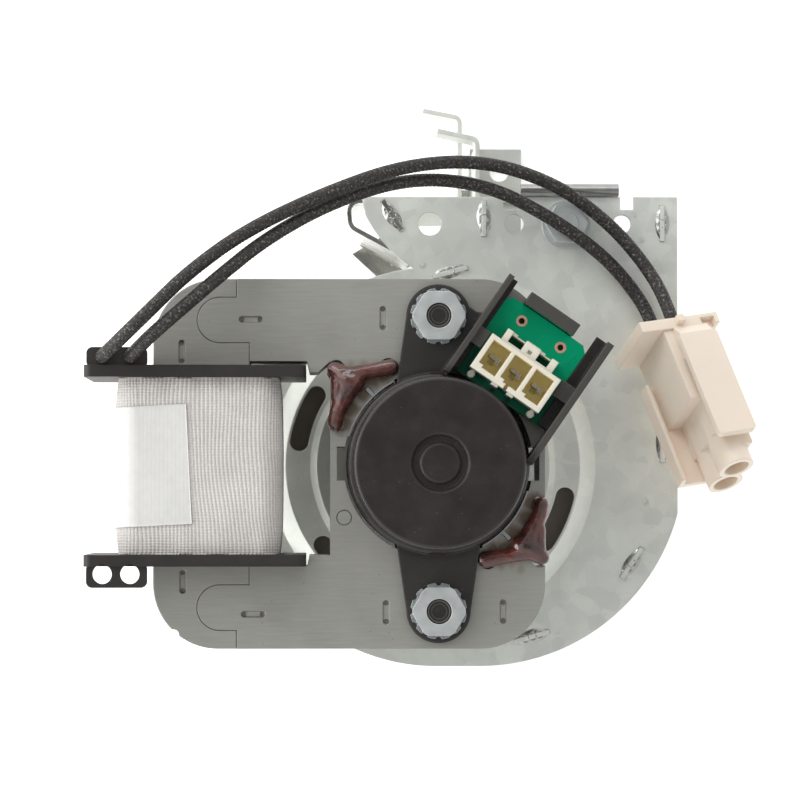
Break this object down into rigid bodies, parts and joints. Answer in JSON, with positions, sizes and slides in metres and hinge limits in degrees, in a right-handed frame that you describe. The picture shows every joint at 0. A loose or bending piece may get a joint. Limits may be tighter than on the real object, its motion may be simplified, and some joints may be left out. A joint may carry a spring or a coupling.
{
  "type": "combustion fan",
  "caption": "Small draught blower: sheet-steel scroll housing with a centrifugal impeller, driven by a C-frame shaded-pole motor with a speed sensor board and a plug on two braided leads.",
  "frame": {"origin": "on the shaft axis, at the outer face of the front (inlet) plate, which the fan lies on", "axes": "+Z along the shaft from the inlet to the motor, +Y out of the air outlet, +X from the coil to the outlet side"},
  "size_m": [0.1118, 0.0993, 0.0846],
  "materials": {
    "galvanised_steel": "spangled zinc coating, satin",
    "lamination_steel": "bare laminations with thin varnish",
    "zinc_fastener": "bright zinc plate",
    "black_steel": "black oxide",
    "black_moulding": "smooth black moulded thermoset",
    "bobbin_nylon": "matt black nylon",
    "coil_tape": "white woven glass tape",
    "paper_label": "blank white label",
    "copper_wire": "enamelled copper",
    "varnished_copper": "copper under thick red varnish",
    "bearing_bronze": "oil-filled sintered bronze",
    "felt": "oiled felt",
    "ground_steel": "ground bright steel",
    "cast_aluminium": "die-cast, as cast",
    "ferrite": "dark bonded ferrite",
    "board_green": "green solder resist on glass board",
    "header_nylon": "off-white nylon",
    "tin_contact": "tinned brass",
    "copper_pad": "bare copper",
    "chip_black": "black epoxy",
    "plug_nylon": "natural cream nylon",
    "lead_braid": "black braided glass sleeve with pale flecks"
  },
  "bodies": {
    "housing": {"front_plate": "galvanised_steel", "rear_plate": "galvanised_steel", "scroll_wrapper": "galvanised_steel", "side_clip": "galvanised_steel", "hook_bracket": "galvanised_steel", "outlet_clip": "galvanised_steel", "clip_screw": "zinc_fastener", "clip_nut": "zinc_fastener", "stator_core": "lamination_steel", "coil_core": "lamination_steel", "shading_coil_a": "varnished_copper", "shading_coil_b": "varnished_copper", "pole_bridges": "lamination_steel", "bobbin": "bobbin_nylon", "coil_winding": "copper_wire", "coil_tape": "coil_tape", "coil_label": "paper_label", "coil_terminals": "bobbin_nylon", "upper_bracket": "black_moulding", "lower_bracket": "black_moulding", "upper_bearing": "bearing_bronze", "lower_bearing": "bearing_bronze", "upper_felt": "felt", "lower_felt": "felt", "upper_retainer": "ground_steel", "lower_retainer": "ground_steel", "through_studs": "black_steel", "stud_nuts": "zinc_fastener", "lock_washers": "zinc_fastener", "mount_standoffs": "zinc_fastener", "sensor_board": "board_green", "board_eyelets": "copper_pad", "board_header": "header_nylon", "header_pins": "tin_contact", "hall_sensor": "chip_black", "board_pegs": "bobbin_nylon", "plug_housing": "plug_nylon", "plug_contacts": "tin_contact", "lead_a": "lead_braid", "lead_b": "lead_braid"},
    "rotor": {"shaft": "ground_steel", "rotor_core": "lamination_steel", "rotor_cage": "cast_aluminium", "magnet_ring": "ferrite", "thrust_washers": "bobbin_nylon", "impeller_hub": "cast_aluminium", "impeller_backplate": "galvanised_steel", "impeller_blades": "galvanised_steel", "impeller_rim": "galvanised_steel", "hub_screw": "black_steel"}
  },
  "joints": [
    {"name": "shaft_spin", "type": "hinge", "parent": "housing", "child": "rotor", "pos_m": [0, 0, 0], "axis": [0, 0, 1], "continuous": true}
  ]
}
